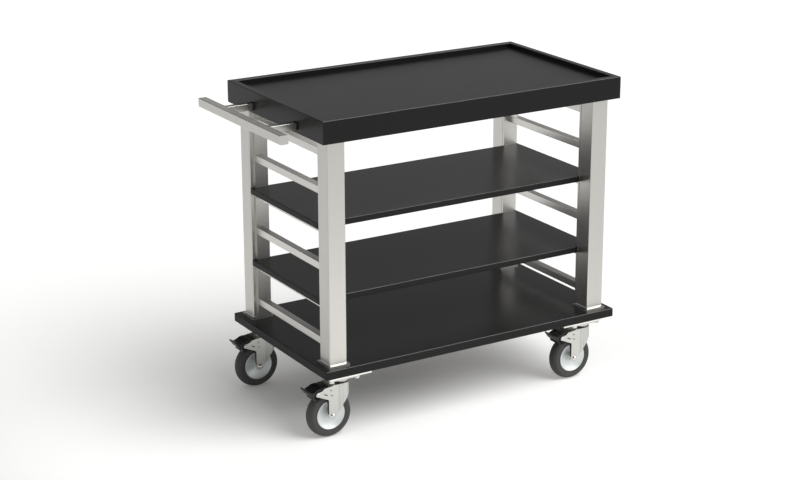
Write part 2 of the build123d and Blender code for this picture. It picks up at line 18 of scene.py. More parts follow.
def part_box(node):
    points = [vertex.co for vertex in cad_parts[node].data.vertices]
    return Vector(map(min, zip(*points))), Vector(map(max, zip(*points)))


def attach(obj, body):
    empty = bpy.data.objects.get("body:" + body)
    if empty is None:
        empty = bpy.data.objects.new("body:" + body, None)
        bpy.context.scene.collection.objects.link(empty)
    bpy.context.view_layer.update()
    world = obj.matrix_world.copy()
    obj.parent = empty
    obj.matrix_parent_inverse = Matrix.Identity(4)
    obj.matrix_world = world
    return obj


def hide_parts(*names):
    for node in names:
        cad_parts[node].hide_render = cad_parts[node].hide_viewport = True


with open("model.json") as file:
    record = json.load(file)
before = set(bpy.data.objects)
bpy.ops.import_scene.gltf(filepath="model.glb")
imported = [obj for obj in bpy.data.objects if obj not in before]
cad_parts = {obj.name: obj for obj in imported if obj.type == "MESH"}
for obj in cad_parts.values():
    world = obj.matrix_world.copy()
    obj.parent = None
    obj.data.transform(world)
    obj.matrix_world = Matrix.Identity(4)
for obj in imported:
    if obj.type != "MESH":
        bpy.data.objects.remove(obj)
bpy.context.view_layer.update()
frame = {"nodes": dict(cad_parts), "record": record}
nodes = frame["nodes"]
joint_places = {joint["name"]: np.array(joint["pos_m"]) for joint in frame["record"]["behaviour"]["joints"]}
corner_names = [name[:-len("_wheel_roll")] for name in joint_places if name.endswith("_wheel_roll")]
scene = bpy.context.scene
print("castors:", corner_names)

# %% [markdown]
# ## Camera
#
# The photograph looks down on the trolley's left front corner through a long lens. We could turn the
# camera by hand until the edges agree, but it is simpler to write down where it stands and which way it
# looks. Azimuth and elevation give the direction back to the camera, a cross product gives its upward
# direction, and the three directions are the columns of the camera's matrix.

# %% Camera at the photograph's angle
azimuth, elevation, roll = math.radians(-31.366), math.radians(18.097), math.radians(-0.111)
camera_place = Vector((-2.6132, -4.2431, 2.0383))
back = Vector((math.sin(azimuth) * math.cos(elevation), -math.cos(azimuth) * math.cos(elevation),
               math.sin(elevation)))
level_right = Vector((math.cos(azimuth), math.sin(azimuth), 0))
level_up = back.cross(level_right)
right = math.cos(roll) * level_right + math.sin(roll) * level_up
up = math.cos(roll) * level_up - math.sin(roll) * level_right

camera_data = bpy.data.cameras.new("photo_camera")
camera_data.sensor_width = 36.0
camera_data.lens = 87.83
camera_data.clip_end = 100.0
camera = bpy.data.objects.new("photo_camera", camera_data)
camera.matrix_world = Matrix((right, up, back)).transposed().to_4x4()
camera.location = camera_place
scene.collection.objects.link(camera)
scene.camera = camera
scene.view_settings.view_transform = "Standard"
print("camera stands at", [round(v, 3) for v in camera.location], "lens", camera_data.lens)

# %% [markdown]
# ## Small helpers for shader nodes
#
# A material is a graph of nodes. Writing the graph in code is shorter with one helper that makes a node,
# sets its plain values and connects its inputs. A value that comes from another node is given as that
# node's output socket, and anything else is set on the input itself. The other helpers stand for the
# steps that come up again and again: a sum, a change of range, a mix of two colours.

# %% Node helpers
def add_node(tree, kind, settings=None, **inputs):
    """Adds a shader node. settings are the node's own properties; inputs are socket names (spaces
    written as _) or indices (i0, i1, ...) with either a value or another node's output."""
    node = tree.nodes.new(kind)
    for key, value in (settings or {}).items():
        setattr(node, key, value)
    for key, value in inputs.items():
        by_index = key[0] == "i" and key[1:].isdigit()
        socket = node.inputs[int(key[1:]) if by_index else key.replace("_", " ")]
        if isinstance(value, bpy.types.NodeSocket):
            tree.links.new(value, socket)
        else:
            socket.default_value = value
    return node


def calculate(tree, operation, first, second):
    """One step of arithmetic on two values."""
    return add_node(tree, "ShaderNodeMath", {"operation": operation}, i0=first, i1=second).outputs[0]


def times_plus(tree, value, factor, start):
    """value * factor + start."""
    return add_node(tree, "ShaderNodeMath", {"operation": "MULTIPLY_ADD"}, i0=value, i1=factor,
                    i2=start).outputs[0]


def remap(tree, value, start, end, low=0.0, high=1.0, curve="LINEAR"):
    """The value carried from the range start to end over to the range low to high, and held there."""
    return add_node(tree, "ShaderNodeMapRange", {"interpolation_type": curve}, Value=value, From_Min=start,
                    From_Max=end, To_Min=low, To_Max=high).outputs[0]


def blend_colours(tree, factor, first, second, blend="MIX"):
    """A blend of two colours, each an (r, g, b) or another node's output."""
    node = add_node(tree, "ShaderNodeMix", {"data_type": "RGBA", "blend_type": blend}, Factor=factor)
    for socket, colour in ((node.inputs[6], first), (node.inputs[7], second)):
        if isinstance(colour, bpy.types.NodeSocket):
            tree.links.new(colour, socket)
        else:
            socket.default_value = (*colour, 1)
    return node.outputs[2]


def tinted(tone, share):
    """A colour made darker or lighter by a share."""
    return [share * channel for channel in tone]


print("node helpers ready")

# %% Materials and groups to fill
def new_material(name):
    """An empty material with its output node, and the tree to build in."""
    material = bpy.data.materials.new(name)
    material.use_nodes = True
    material.node_tree.nodes.clear()
    output = material.node_tree.nodes.new("ShaderNodeOutputMaterial")
    return material, material.node_tree, output


def new_group(name, inputs, outputs):
    """A shader node group with named sockets. inputs are (name, socket type, default), and outputs are
    (name, socket type)."""
    tree = bpy.data.node_groups.new(name, "ShaderNodeTree")
    for title, kind, default in inputs:
        socket = tree.interface.new_socket(title, in_out="INPUT", socket_type=kind)
        if default is not None:
            socket.default_value = default
    for title, kind in outputs:
        tree.interface.new_socket(title, in_out="OUTPUT", socket_type=kind)
    return tree, tree.nodes.new("NodeGroupInput"), tree.nodes.new("NodeGroupOutput")


def use_group(tree, group, **inputs):
    """Places a node group in a material and connects its inputs."""
    return add_node(tree, "ShaderNodeGroup", {"node_tree": group}, **inputs)


print("material helpers ready")

# %% [markdown]
# ## Floor
#
# The photograph was taken in a white studio. The floor is a very pale diffuse surface, so it keeps the
# trolley's soft shadow. A white floor in a photograph is also lit a little from everywhere, so a small
# glow, for the camera and for mirrors only, makes it white where nothing shades it. The glow carries
# painted light: it is weak in an oval under the trolley, a painted shadow, and stronger in front of it, a
# painted patch of light. The whole glow fades to the left and towards the camera.

# %% Floor
floor_reach = 40.0
floor_corners = [(-floor_reach, -floor_reach, 0), (floor_reach, -floor_reach, 0),
                 (floor_reach, floor_reach, 0), (-floor_reach, floor_reach, 0)]
floor_mesh = bpy.data.meshes.new("studio_floor")
floor_mesh.from_pydata(floor_corners, [], [(0, 1, 2, 3)])
floor = bpy.data.objects.new("studio_floor", floor_mesh)
scene.collection.objects.link(floor)

painted_shadow_centre, oval_stretch, painted_light_centre = (-0.2, 0.1, 0), (1, 2, 0), (0.2, -0.95, 0)
floor_painted_light, tree, output = new_material("studio_floor_paint")
rays = add_node(tree, "ShaderNodeLightPath")
seen = calculate(tree, "MAXIMUM", rays.outputs["Is Camera Ray"], rays.outputs["Is Glossy Ray"])
place = add_node(tree, "ShaderNodeTexCoord")
offset = add_node(tree, "ShaderNodeVectorMath", {"operation": "SUBTRACT"}, i0=place.outputs["Object"],
                  i1=painted_shadow_centre)
oval = add_node(tree, "ShaderNodeVectorMath", {"operation": "MULTIPLY"}, i0=offset.outputs[0],
                i1=oval_stretch)
away = add_node(tree, "ShaderNodeVectorMath", {"operation": "LENGTH"}, i0=oval.outputs[0])
# Painted shadow: the glow is weaker in an oval under the trolley, where its shadow lies.
painted_shadow_glow = remap(tree, away.outputs["Value"], 0.1, 0.75, 0.07, 0.225, "SMOOTHSTEP")
# Painted light: a brighter patch of glow in front of the trolley.
ahead = add_node(tree, "ShaderNodeVectorMath", {"operation": "DISTANCE"}, i0=place.outputs["Object"],
                 i1=painted_light_centre)
bright = remap(tree, ahead.outputs["Value"], 0.15, 0.95, 0.42, 0.0, "SMOOTHSTEP")
spot = add_node(tree, "ShaderNodeSeparateXYZ", {}, Vector=place.outputs["Object"])
left_fade = remap(tree, spot.outputs["X"], -1.45, -0.9, 0.0, 1.0, "SMOOTHSTEP")
front_fade = remap(tree, spot.outputs["Y"], -2.6, -1.1, 0.2, 1.0, "SMOOTHSTEP")
# The painted glow, both its shadow and its patch of light, fades to the left and towards the camera.
painted_floor_glow = calculate(tree, "MULTIPLY", calculate(tree, "ADD", painted_shadow_glow, bright),
                  calculate(tree, "MULTIPLY", left_fade, front_fade))
diffuse = add_node(tree, "ShaderNodeBsdfDiffuse", Color=(0.90, 0.90, 0.90, 1))
glow = add_node(tree, "ShaderNodeEmission", Color=(1, 0.985, 0.94, 1),
                Strength=calculate(tree, "MULTIPLY", seen, painted_floor_glow))
both = add_node(tree, "ShaderNodeAddShader", i0=diffuse.outputs[0], i1=glow.outputs[0])
tree.links.new(both.outputs[0], output.inputs["Surface"])
floor_mesh.materials.append(floor_painted_light)
print("floor made,", 2 * floor_reach, "m wide")

# %% [markdown]
# ## World and key light
#
# Steel is only as bright as what it mirrors, so the world matters. It is white at the horizon and greyer
# overhead, and mirrors see a steeper change than matt surfaces do. Mirrors also see a round white screen
# on the right: the rear posts pass it on to the boards, as a soft glow at their feet. One wide soft light
# from the camera's right, a sun with a large disc, gives the shadow its direction.

# %% World
screen_way = (0.786, -0.491, 0.375)
screen_edge, screen_core, screen_level = math.radians(32), math.radians(15), 1.4
world = bpy.data.worlds.new("pale_studio")
world.use_nodes = True
scene.world = world
tree = world.node_tree
tree.nodes.clear()
direction = add_node(tree, "ShaderNodeTexCoord")
height = add_node(tree, "ShaderNodeSeparateXYZ", {}, Vector=direction.outputs["Generated"])
plain = remap(tree, height.outputs["Z"], 0.03, 0.16, 1.0, 0.36, "SMOOTHSTEP")
mirrored = remap(tree, height.outputs["Z"], 0.05, 0.48, 0.8, 0.03, "SMOOTHSTEP")
toward = add_node(tree, "ShaderNodeVectorMath", {"operation": "DOT_PRODUCT"},
                  i0=direction.outputs["Generated"], i1=screen_way)
screen = remap(tree, toward.outputs["Value"], math.cos(screen_edge), math.cos(screen_core), 0.0, screen_level,
               "SMOOTHSTEP")
rays = add_node(tree, "ShaderNodeLightPath")
level = add_node(tree, "ShaderNodeMix", {"data_type": "FLOAT"}, Factor=rays.outputs["Is Glossy Ray"],
                 A=plain, B=calculate(tree, "ADD", mirrored, screen))
sky = add_node(tree, "ShaderNodeBackground", Color=(1, 1, 1, 1), Strength=level.outputs[0])
add_node(tree, "ShaderNodeOutputWorld", Surface=sky.outputs[0])
print("world", world.name)

# %% Key light from the camera's right
key_data = bpy.data.lights.new("key_right", "SUN")
key_data.energy = 2.3
key_data.angle = math.radians(50)
key = bpy.data.objects.new("key_right", key_data)
key.location = (2.0, -2.7, 4.0)
key.rotation_euler = Vector((-0.60, 0.80, -1.15)).to_track_quat("-Z", "Y").to_euler()
scene.collection.objects.link(key)
print("lamp", key.name, key.data.energy)

# %% [markdown]
# ## Shared surface effects
#
# Several finishes need the same ingredients, so each ingredient is a node group. `brushing` makes fine
# parallel streaks, `board_skin` makes the faint speckle of a laminate, `soft_marks` makes the broad, barely
# visible patches that handling leaves, `relief_and_edges` turns a height into a bump and finds edges, and
# `board_faces` tells a board's faces apart and finds its upper front edges, where a highlight is painted.
# They only put out masks, heights and normals. The shader itself stays in each material.

# %% Group: brushing
brushing, inp, out = new_group(
    "brushing",
    [("Coordinate", "NodeSocketVector", None), ("Grain", "NodeSocketVector", (900.0, 900.0, 6.0)),
     ("Seed", "NodeSocketFloat", 0.0)],
    [("Streak", "NodeSocketFloat"), ("Broad", "NodeSocketFloat")])
scaled = add_node(brushing, "ShaderNodeVectorMath", {"operation": "MULTIPLY"}, i0=inp.outputs["Coordinate"],
                  i1=inp.outputs["Grain"])
fine = add_node(brushing, "ShaderNodeTexNoise", {"noise_dimensions": "4D"}, Vector=scaled.outputs[0],
                W=inp.outputs["Seed"], Scale=1.0, Detail=3.0, Roughness=0.6)
coarse_place = add_node(brushing, "ShaderNodeVectorMath", {"operation": "SCALE"}, i0=scaled.outputs[0],
                        Scale=0.18)
coarse = add_node(brushing, "ShaderNodeTexNoise", {"noise_dimensions": "4D"}, Vector=coarse_place.outputs[0],
                  W=inp.outputs["Seed"], Scale=1.0, Detail=2.0, Roughness=0.5)
brushing.links.new(fine.outputs["Fac"], out.inputs["Streak"])
brushing.links.new(coarse.outputs["Fac"], out.inputs["Broad"])
print("group", brushing.name)

# %% Group: board skin
board_skin, inp, out = new_group(
    "board_skin",
    [("Coordinate", "NodeSocketVector", None)],
    [("Speckle", "NodeSocketFloat"), ("Cloud", "NodeSocketFloat")])
speckle = add_node(board_skin, "ShaderNodeTexNoise", {}, Vector=inp.outputs["Coordinate"], Scale=1400.0,
                   Detail=2.0, Roughness=0.55)
cloud = add_node(board_skin, "ShaderNodeTexNoise", {}, Vector=inp.outputs["Coordinate"], Scale=9.0,
                 Detail=4.0, Roughness=0.55)
board_skin.links.new(speckle.outputs["Fac"], out.inputs["Speckle"])
board_skin.links.new(cloud.outputs["Fac"], out.inputs["Cloud"])
print("group", board_skin.name)

# %% Group: soft marks
soft_marks, inp, out = new_group(
    "soft_marks",
    [("Coordinate", "NodeSocketVector", None), ("Scale", "NodeSocketFloat", 14.0)],
    [("Mark", "NodeSocketFloat")])
warp = add_node(soft_marks, "ShaderNodeTexNoise", {}, Vector=inp.outputs["Coordinate"],
                Scale=inp.outputs["Scale"], Detail=5.0, Roughness=0.62, Distortion=0.6)
shaped = remap(soft_marks, warp.outputs["Fac"], 0.42, 0.68, curve="SMOOTHSTEP")
soft_marks.links.new(shaped, out.inputs["Mark"])
print("group", soft_marks.name)

# %% Group: relief and edges
relief_and_edges, inp, out = new_group(
    "relief_and_edges",
    [("Height", "NodeSocketFloat", 0.5), ("Relief", "NodeSocketFloat", 0.00002)],
    [("Normal", "NodeSocketVector"), ("Edge", "NodeSocketFloat")])
bump = add_node(relief_and_edges, "ShaderNodeBump", {}, Strength=0.25, Distance=inp.outputs["Relief"],
                Height=inp.outputs["Height"])
bevel = add_node(relief_and_edges, "ShaderNodeBevel", {"samples": 6}, Radius=0.0010)
geometry = add_node(relief_and_edges, "ShaderNodeNewGeometry")
flatness = add_node(relief_and_edges, "ShaderNodeVectorMath", {"operation": "DOT_PRODUCT"},
                    i0=bevel.outputs[0], i1=geometry.outputs["Normal"])
edge = remap(relief_and_edges, flatness.outputs["Value"], 0.99, 0.85)
relief_and_edges.links.new(bump.outputs[0], out.inputs["Normal"])
relief_and_edges.links.new(edge, out.inputs["Edge"])
print("group", relief_and_edges.name)

# %% Group: faces of a board, and front edges for a painted highlight
board_faces, inp, out = new_group("board_faces", [],
                                  [("Edge", "NodeSocketFloat"), ("Level", "NodeSocketFloat")])
place = add_node(board_faces, "ShaderNodeTexCoord")
facing = add_node(board_faces, "ShaderNodeSeparateXYZ", {}, Vector=place.outputs["Normal"])
level_face = add_node(board_faces, "ShaderNodeMath", {"operation": "ABSOLUTE"}, i0=facing.outputs["Z"])
# Upper front edges, where the boards get a painted highlight.
upward = remap(board_faces, facing.outputs["Z"], 0.1, 0.35)
forward = remap(board_faces, facing.outputs["Y"], -0.1, -0.35)
edge = calculate(board_faces, "MULTIPLY", upward, forward)
board_faces.links.new(edge, out.inputs["Edge"])
board_faces.links.new(level_face.outputs[0], out.inputs["Level"])
print("group", board_faces.name)

# %% [markdown]
# ## Brushed steel
#
# Brushed steel is a metal whose roughness changes in thin streaks along the direction it was ground. The
# posts were ground upwards, the rungs and the push bar along their length, so the same recipe takes the
# stretch of its streaks as three numbers: many repeats across the grain and few along it. Edges are rubbed
# a little brighter than the faces.

# %% Brushed steel
rubbed_tone = (0.9, 0.9, 0.88)


def brushed_steel(name, grain, tone, rough, seed):
    """Metal whose colour runs from 0.94 of its tone to the full tone along the streaks, with a roughness
    that runs from rough to rough + 0.11, and edges rubbed towards white by a quarter."""
    material, tree, output = new_material(name)
    place = add_node(tree, "ShaderNodeTexCoord")
    streaks = use_group(tree, brushing, Coordinate=place.outputs["Object"], Grain=grain, Seed=seed)
    marks = use_group(tree, soft_marks, Coordinate=place.outputs["Object"], Scale=11.0)
    relief = use_group(tree, relief_and_edges, Height=streaks.outputs["Streak"], Relief=0.000003)
    streak = times_plus(tree, streaks.outputs["Streak"], 0.6, 0.2)
    shade = blend_colours(tree, streak, tinted(tone, 0.94), tone)
    rubbed = blend_colours(tree, times_plus(tree, relief.outputs["Edge"], 0.25, 0.0), shade, rubbed_tone)
    grit = times_plus(tree, streaks.outputs["Broad"], 0.08, rough)
    worn = times_plus(tree, marks.outputs["Mark"], 0.03, grit)
    shader = add_node(tree, "ShaderNodeBsdfPrincipled", Base_Color=rubbed, Metallic=1.0, Roughness=worn,
                      Normal=relief.outputs["Normal"])
    tree.links.new(shader.outputs[0], output.inputs["Surface"])
    return material


steel_tone, rung_tone = (0.585, 0.575, 0.545), (0.66, 0.648, 0.617)
plate_tone, sheet_tone = (0.66, 0.65, 0.62), (0.82, 0.81, 0.78)
post_steel = brushed_steel("post_steel", (950.0, 950.0, 7.0), steel_tone, 0.31, 1.0)
rung_steel = brushed_steel("rung_steel", (950.0, 7.0, 950.0), rung_tone, 0.27, 2.0)
bar_steel = brushed_steel("bar_steel", (950.0, 7.0, 950.0), steel_tone, 0.20, 5.0)
arm_steel = brushed_steel("arm_steel", (9.0, 950.0, 950.0), steel_tone, 0.22, 3.0)
plate_steel = brushed_steel("plate_steel", (900.0, 900.0, 900.0), plate_tone, 0.26, 4.0)
sheet_steel = brushed_steel("sheet_steel", (7.0, 950.0, 950.0), sheet_tone, 0.17, 6.0)
print("steel finishes:", post_steel.name, rung_steel.name, bar_steel.name, arm_steel.name, plate_steel.name,
      sheet_steel.name)

# %% [markdown]
# ## Charcoal board
#
# The boards are covered with a satin charcoal laminate. It is nearly black: what we see on the tray is
# mostly a soft reflection of the white studio at a flat angle, which is why the top looks lighter than the
# front. A faint speckle breaks up the reflection, as the pressed texture of a laminate does. The upper
# front edges carry a painted highlight: their colour is a shade lighter, where the light catches them.

# %% Charcoal board
def charcoal_board(name, rough, side_rough):
    """Dark laminate: the speckle moves the colour and lifts the surface a little, cloud and marks move the
    roughness, level faces and edge faces have their own roughness, and the upper front edges are painted
    lighter as a highlight."""
    material, tree, output = new_material(name)
    place = add_node(tree, "ShaderNodeTexCoord")
    skin = use_group(tree, board_skin, Coordinate=place.outputs["Object"])
    marks = use_group(tree, soft_marks, Coordinate=place.outputs["Object"], Scale=7.0)
    relief = use_group(tree, relief_and_edges, Height=skin.outputs["Speckle"], Relief=0.00002)
    faces = use_group(tree, board_faces)
    shade = blend_colours(tree, skin.outputs["Speckle"], tinted(board_tone, 0.7), tinted(board_tone, 1.3))
    # Painted highlight: the upper front edges are blended to a lighter tone.
    painted_highlight = blend_colours(tree, faces.outputs["Edge"], shade, painted_highlight_tone)
    smooth = remap(tree, faces.outputs["Level"], 0.0, 1.0, side_rough, rough)
    satin = times_plus(tree, skin.outputs["Cloud"], 0.016, smooth)
    worn = times_plus(tree, marks.outputs["Mark"], 0.006, satin)
    shader = add_node(tree, "ShaderNodeBsdfPrincipled", Base_Color=painted_highlight, Roughness=worn,
                      Normal=relief.outputs["Normal"], IOR=1.28)
    tree.links.new(shader.outputs[0], output.inputs["Surface"])
    return material


# The second tone is the lighter colour of the painted highlight on the upper front edges.
board_tone, painted_highlight_tone = (0.008, 0.008, 0.0078), (0.13, 0.129, 0.126)
board_finish = charcoal_board("board_finish", 0.285, 0.50)
tray_finish = charcoal_board("tray_finish", 0.33, 0.30)
print("board finishes:", board_finish.name, tray_finish.name)

# %% [markdown]
# ## Castor finishes
#
# The castors mix four finishes: bright zinc plate on pressed steel, a silver wheel centre, grey rubber and a
# black pedal. The zinc shows small crystals. The forks have shallow upright folds from the press, too flat
# to model; their light and shade is painted as two darker lines. All four forks share one material, so the
# painted fold shade repeats at the castors' spacing.

# %% Zinc plate
swivel_x = [place[0] for name, place in joint_places.items() if name.endswith("_swivel_turn")]
first_x = min(swivel_x)
castor_spacing = max(swivel_x) - first_x
fold_reach = 0.025
# Painted shade: the fork's brightness at places along its length, as (place, brightness).
fold_shade_levels = [(0.10, 1.0), (0.17, 0.85), (0.25, 0.86), (0.30, 0.95), (0.36, 0.93), (0.40, 0.83),
               (0.45, 0.92), (0.62, 0.96), (0.90, 0.82)]


def painted_fold_shade(tree, place):
    """Painted shade along a pressed fork's length: the light and shade of two shallow upright folds, at 15
    and
    5 mm behind the swivel axis. Wrapping x at the castors' spacing gives every fork the same painted shade."""
    parts = add_node(tree, "ShaderNodeSeparateXYZ", {}, Vector=place)
    from_first = calculate(tree, "SUBTRACT", parts.outputs["X"], first_x)
    from_axis = add_node(tree, "ShaderNodeMath", {"operation": "WRAP"}, i0=from_first,
                         i1=castor_spacing / 2, i2=-castor_spacing / 2)
    along = remap(tree, from_axis.outputs[0], -fold_reach, fold_reach)
    folds = add_node(tree, "ShaderNodeValToRGB", {}, Fac=along)
    ramp = folds.color_ramp
    ramp.elements.remove(ramp.elements[1])
    ramp.elements[0].position = fold_shade_levels[0][0]
    for position, level in fold_shade_levels[1:]:
        ramp.elements.new(position)
    for element, (position, level) in zip(ramp.elements, fold_shade_levels):
        element.color = (level, level, level, 1)
    return folds.outputs["Color"]


def plated_zinc(name, tone, rough, fold_shaded=False):
    """Bright plating: small cells of slightly different brightness, with the painted shade of the press folds
    where asked.
    """
    material, tree, output = new_material(name)
    place = add_node(tree, "ShaderNodeTexCoord")
    cells = add_node(tree, "ShaderNodeTexVoronoi", {}, Vector=place.outputs["Object"], Scale=420.0)
    marks = use_group(tree, soft_marks, Coordinate=place.outputs["Object"], Scale=60.0)
    spread = add_node(tree, "ShaderNodeSeparateColor", {}, Color=cells.outputs["Color"])
    relief = use_group(tree, relief_and_edges, Height=spread.outputs[0], Relief=0.00001)
    shade = blend_colours(tree, spread.outputs[0], tinted(tone, 0.95), tone)
    if fold_shaded:
        # Painted shade: the press folds darken the fork's colour in upright lines.
        shade = blend_colours(tree, 1.0, shade, painted_fold_shade(tree, place.outputs["Object"]), "MULTIPLY")
    rubbed = blend_colours(tree, times_plus(tree, relief.outputs["Edge"], 0.3, 0.0), shade, rubbed_tone)
    grit = times_plus(tree, marks.outputs["Mark"], 0.06, rough)
    shader = add_node(tree, "ShaderNodeBsdfPrincipled", Base_Color=rubbed, Metallic=1.0, Roughness=grit,
                      Normal=relief.outputs["Normal"])
    tree.links.new(shader.outputs[0], output.inputs["Surface"])
    return material


zinc = plated_zinc("castor_zinc", (0.59, 0.59, 0.565), 0.28, fold_shaded=True)
bolt_zinc = plated_zinc("bolt_zinc", (0.66, 0.66, 0.64), 0.16)
pad_metal = plated_zinc("pad_metal", (0.84, 0.83, 0.79), 0.30)
# Painted shade: a dark zinc for the plates that stand for the shade in the cheeks' hollows.
painted_shade_zinc = plated_zinc("painted_shade_zinc", (0.12, 0.12, 0.115), 0.45)
print("zinc finishes:", zinc.name, bolt_zinc.name, pad_metal.name, painted_shade_zinc.name)

# %% Plastic and rubber
def moulded(name, tone, rough, grain, relief_height, specular, metallic=0.0):
    """Plastic or rubber: a fine moulded grain lifts the surface, and broad marks change its gloss. A silver
    paint is partly metallic."""
    material, tree, output = new_material(name)
    place = add_node(tree, "ShaderNodeTexCoord")
    skin = add_node(tree, "ShaderNodeTexNoise", {}, Vector=place.outputs["Object"], Scale=grain, Detail=3.0)
    marks = use_group(tree, soft_marks, Coordinate=place.outputs["Object"], Scale=45.0)
    relief = use_group(tree, relief_and_edges, Height=skin.outputs["Fac"], Relief=relief_height)
    shade = blend_colours(tree, skin.outputs["Fac"], tinted(tone, 0.85), tinted(tone, 1.12))
    rubbed = blend_colours(tree, times_plus(tree, relief.outputs["Edge"], 0.35, 0.0), shade,
                           [0.04 + channel for channel in tinted(tone, 1.1)])
    gloss = times_plus(tree, marks.outputs["Mark"], 0.08, rough)
    shader = add_node(tree, "ShaderNodeBsdfPrincipled", Base_Color=rubbed, Roughness=gloss,
                      Normal=relief.outputs["Normal"], Specular_IOR_Level=specular, Metallic=metallic)
    tree.links.new(shader.outputs[0], output.inputs["Surface"])
    return material


tyre_rubber = moulded("tyre_rubber", (0.058, 0.058, 0.056), 0.55, 900.0, 0.00004, 0.3)
rim_plastic = moulded("rim_plastic", (0.71, 0.74, 0.735), 0.44, 700.0, 0.00001, 0.5, metallic=0.6)
pedal_plastic = moulded("pedal_plastic", (0.010, 0.010, 0.010), 0.40, 800.0, 0.00005, 0.4)
print("moulded finishes:", tyre_rubber.name, rim_plastic.name, pedal_plastic.name)

# %% [markdown]
# ## A finish for every CAD node
#
# The names of the CAD nodes say what each piece is, so a short table of words is enough. The first word
# that is found in a name decides, and whatever is left over is a bolt, a pin or a screw.

# %% Give every CAD node its finish
finish_words = [
    ("tray_screws", bolt_zinc), ("tray_", tray_finish), ("shelf", board_finish), ("board", board_finish),
    ("_post", post_steel), ("ladder_stiles", post_steel), ("_rung_", rung_steel), ("handle_bar", bar_steel),
    ("handle_end_caps", bar_steel), ("handle_arms", arm_steel), ("_plates", plate_steel),
    ("handle_backing_plate", plate_steel), ("castor_pads", pad_metal), ("_rim", rim_plastic),
    ("_tyre", tyre_rubber), ("_pedal", pedal_plastic), ("_fork", zinc), ("_castor_plate", zinc)]


def finish_for(name):
    """The finish of a CAD node: that of the first word in the table which its name holds."""
    return next((finish for word, finish in finish_words if word in name), bolt_zinc)


for name, node in nodes.items():
    node.data.materials.clear()
    node.data.materials.append(finish_for(name))
print("dressed", len(nodes), "nodes")

# %% [markdown]
# ## Surfaces from formulas
#
# The small trim that the CAD model leaves out goes round square tubes or along edges: rubber gaskets, weld
# beads, guard strips. Each is a flat profile carried round a loop or along a line. We could model one by
# hand and copy it, but a formula gives all copies at once: an array holds every corner, with one axis for
# the profile and one for the loop, and a second small array joins neighbours into four-sided faces.

# %% Helpers: loops, grids and meshes
X, Y, Z = np.eye(3)
hair = 0.00002
smooth_limit = math.radians(40)


def corners_of(node):
    """The low and the high corner of a CAD node's box."""
    return [np.array(corner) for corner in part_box(node)]


def rounded_loop(half_u, half_v, radius, steps=5):
    """A rectangle with round corners, as points and outward directions. Each corner is a quarter circle:
    point = corner centre + radius * (cos, sin), direction = (cos, sin)."""
    turn = np.radians(90 * np.arange(4)[:, None] + np.linspace(0, 90, steps)[None, :]).ravel()
    outward = np.stack([np.cos(turn), np.sin(turn)], axis=1)
    signs = np.repeat(np.array([(1, 1), (-1, 1), (-1, -1), (1, -1)]), steps, axis=0)
    centres = signs * np.array([half_u - radius, half_v - radius])
    return centres + radius * outward, outward


def ring_round(origin, u, v, w, loop, outward, profile):
    """A profile carried round a loop. The corner for profile place (along, out) and loop place p is
    origin + (p + out * outward) in the u, v plane + along * w."""
    along, out = profile[:, None, :1], profile[:, None, 1:]
    flat = loop[None] + out * outward[None]
    return origin + flat[..., :1] * u + flat[..., 1:] * v + along * w


def joined(rows, columns, ring):
    """Faces of a grid whose columns close on themselves: each corner with its neighbours on either axis.
    With ring, the rows close too. Otherwise one face closes each end. Returns four-sided faces and ends."""
    i, j = np.meshgrid(np.arange(rows if ring else rows - 1), np.arange(columns), indexing="ij")
    below, beside = (i + 1) % rows, (j + 1) % columns
    quads = np.stack([i * columns + j, i * columns + beside, below * columns + beside, below * columns + j],
                     axis=-1).reshape(-1, 4)
    ends = np.array([] if ring else [0, rows - 1], dtype=int)[:, None] * columns + np.arange(columns)
    return quads, ends


def put_piece(name, grids, material, body, ring=True):
    """Makes one mesh of several equal grids, turns its faces outwards and hangs it on a body."""
    corners = np.array(grids)
    copies, rows, columns = corners.shape[:3]
    starts = rows * columns * np.arange(copies)[:, None, None]
    quads, ends = joined(rows, columns, ring)
    faces = (quads + starts).reshape(-1, 4).tolist() + (ends + starts).reshape(-1, columns).tolist()
    mesh = bpy.data.meshes.new(name)
    mesh.from_pydata(corners.reshape(-1, 3).tolist(), [], faces)
    shape = bmesh.new()
    shape.from_mesh(mesh)
    bmesh.ops.recalc_face_normals(shape, faces=shape.faces)
    shape.to_mesh(mesh)
    shape.free()
    mesh.polygons.foreach_set("use_smooth", np.ones(len(mesh.polygons), dtype=bool))
    mesh.set_sharp_from_angle(angle=smooth_limit)
    mesh.materials.append(material)
    piece = bpy.data.objects.new(name, mesh)
    scene.collection.objects.link(piece)
    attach(piece, body)
    print(name, "has", len(mesh.polygons), "faces and rides on", body)
    return piece


print("surface helpers ready")

# %% [markdown]
# ## Painted shadow where the push handle meets the tray
#
# The two arms of the handle run into the left rim board. Where each arm meets the board, the shadow gap
# shows as a short black slot at the end of the arm. That shadow is painted as a flat black ring round the
# arm, a little proud of it, with its outer edge cut back.

# %% Painted shadow rings at the arm ends
shadow_ring_length, shadow_ring_proud, shadow_ring_gap, shadow_ring_bevel = 0.0037, 0.0004, 0.00003, 0.0003
arm_corner = 0.0015
arms_low, arms_high = corners_of("handle_arms")
board_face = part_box("tray_left_apron")[0][0]
arm_half = (arms_high[2] - arms_low[2]) / 2
arm_middle = (arms_high[2] + arms_low[2]) / 2
arm_places = (arms_low[1] + arm_half, arms_high[1] - arm_half)
arm_loop, arm_outward = rounded_loop(arm_half, arm_half, arm_corner)
shadow_ring_profile = np.array([(0.0, shadow_ring_gap), (0.0, shadow_ring_proud),
                           (shadow_ring_length - shadow_ring_bevel, shadow_ring_proud), (shadow_ring_length, shadow_ring_proud / 2),
                           (shadow_ring_length, shadow_ring_gap)])
painted_shadow_rings = [ring_round(np.array([board_face - hair, arm_y, arm_middle]), Y, Z, -X, arm_loop, arm_outward,
                      shadow_ring_profile)
           for arm_y in arm_places]
